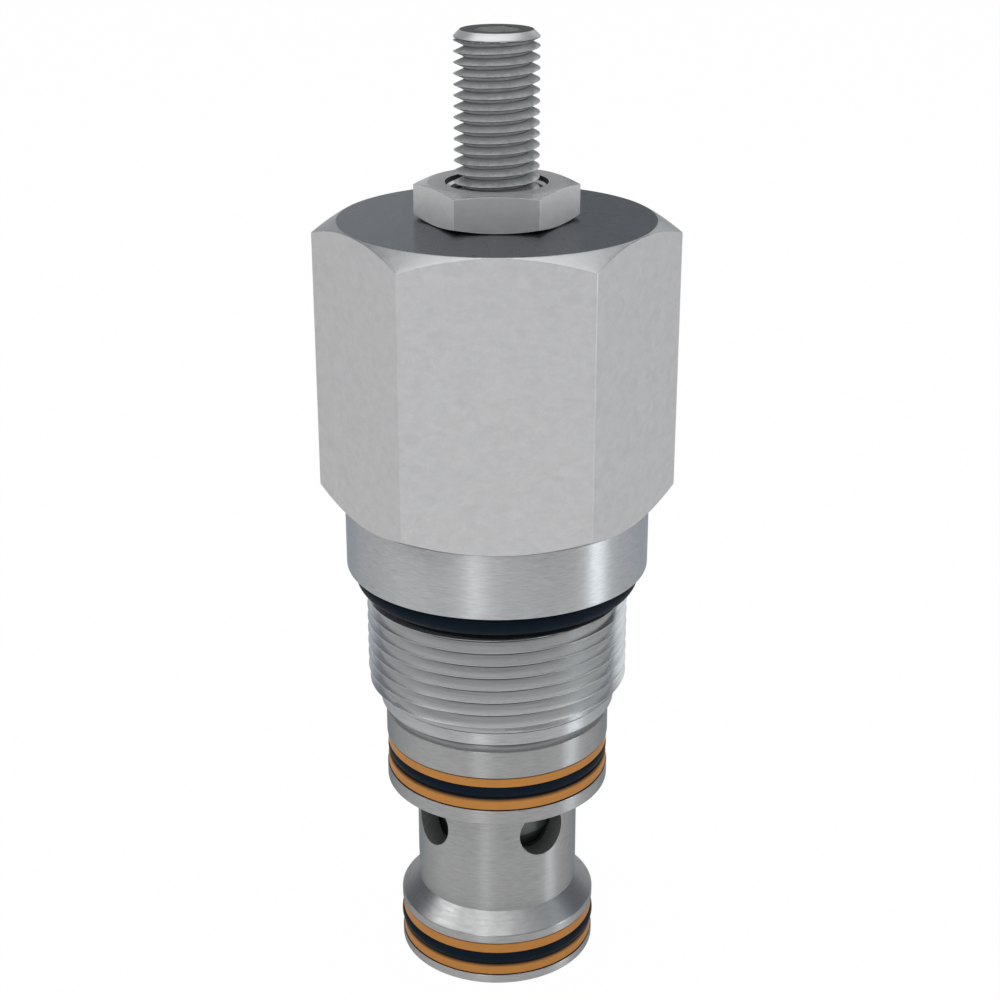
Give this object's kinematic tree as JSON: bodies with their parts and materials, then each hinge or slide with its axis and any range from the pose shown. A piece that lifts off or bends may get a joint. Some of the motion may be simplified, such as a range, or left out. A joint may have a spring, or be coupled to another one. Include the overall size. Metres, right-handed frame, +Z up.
{
  "type": "pilot operated relief valve",
  "caption": "Screw-in hydraulic relief valve cartridge: hexagon body with adjusting screw and lock nut, cavity thread, ported cage, seal packs, inner main and pilot poppets with springs.",
  "frame": {"origin": "centre of the nose end face, on the valve's axis", "axes": "+Z up the axis from the nose to the adjusting screw; the side ports look along X and Y"},
  "size_m": [0.0438, 0.0398, 0.1205],
  "materials": {
    "plated_body": "zinc plated steel, satin, faintly mottled on the wrench flats and turned below",
    "cage_steel": "turned steel with fine lathe lines round the axis",
    "screw_steel": "plated steel, rolled thread",
    "nut_steel": "plated steel, satin",
    "seal_rubber": "blue black nitrile rubber, slightly glossy",
    "backup_ring": "amber polyester, smooth",
    "hardened_steel": "hardened and ground steel",
    "screen_brass": "fine perforated brass sheet",
    "spring_steel": "bright spring wire"
  },
  "bodies": {
    "housing": {"hex_body": "plated_body", "cage": "cage_steel", "collar_o_ring": "seal_rubber", "upper_o_ring": "seal_rubber", "upper_backup_ring_top": "backup_ring", "upper_backup_ring_bottom": "backup_ring", "nose_o_ring": "seal_rubber", "nose_backup_ring_top": "backup_ring", "nose_backup_ring_bottom": "backup_ring", "cage_o_ring": "seal_rubber", "pilot_seat": "hardened_steel", "pilot_seat_o_ring": "seal_rubber", "main_spring": "spring_steel", "pilot_spring": "spring_steel"},
    "adjuster": {"adjuster_piston": "hardened_steel", "adjuster_o_ring": "seal_rubber", "adjuster_backup_ring": "backup_ring", "spring_shim": "spring_steel"},
    "screw": {"adjusting_screw": "screw_steel"},
    "nut": {"lock_nut": "nut_steel"},
    "poppet": {"main_poppet": "hardened_steel", "orifice_plug": "hardened_steel", "orifice_screen": "screen_brass", "screen_ring": "spring_steel"},
    "pilot": {"pilot_poppet": "hardened_steel"}
  },
  "joints": [
    {"name": "adjuster_travel", "type": "slide", "parent": "housing", "child": "adjuster", "axis": [0, 0, 1], "range_m": [-0.006, 0.003], "deforming": ["pilot_spring"]},
    {"name": "screw_turn", "type": "hinge", "parent": "adjuster", "child": "screw", "pos_m": [0, 0, 0.1], "axis": [0, 0, 1], "range_deg": [-1730, 865]},
    {"name": "nut_turn", "type": "hinge", "parent": "housing", "child": "nut", "pos_m": [0, 0, 0.1], "axis": [0, 0, 1], "range_deg": [0, 360]},
    {"name": "poppet_lift", "type": "slide", "parent": "housing", "child": "poppet", "axis": [0, 0, 1], "range_m": [0, 0.0038], "stiffness_N_per_m": 2500, "springref_m": -0.006, "deforming": ["main_spring"]},
    {"name": "pilot_lift", "type": "slide", "parent": "housing", "child": "pilot", "axis": [0, 0, 1], "range_m": [0, 0.0008], "stiffness_N_per_m": 16000, "springref_m": -0.003}
  ],
  "couplings": [
    {"joint": "screw_turn", "follows": "adjuster_travel", "rad_per_m": 5026.5}
  ]
}
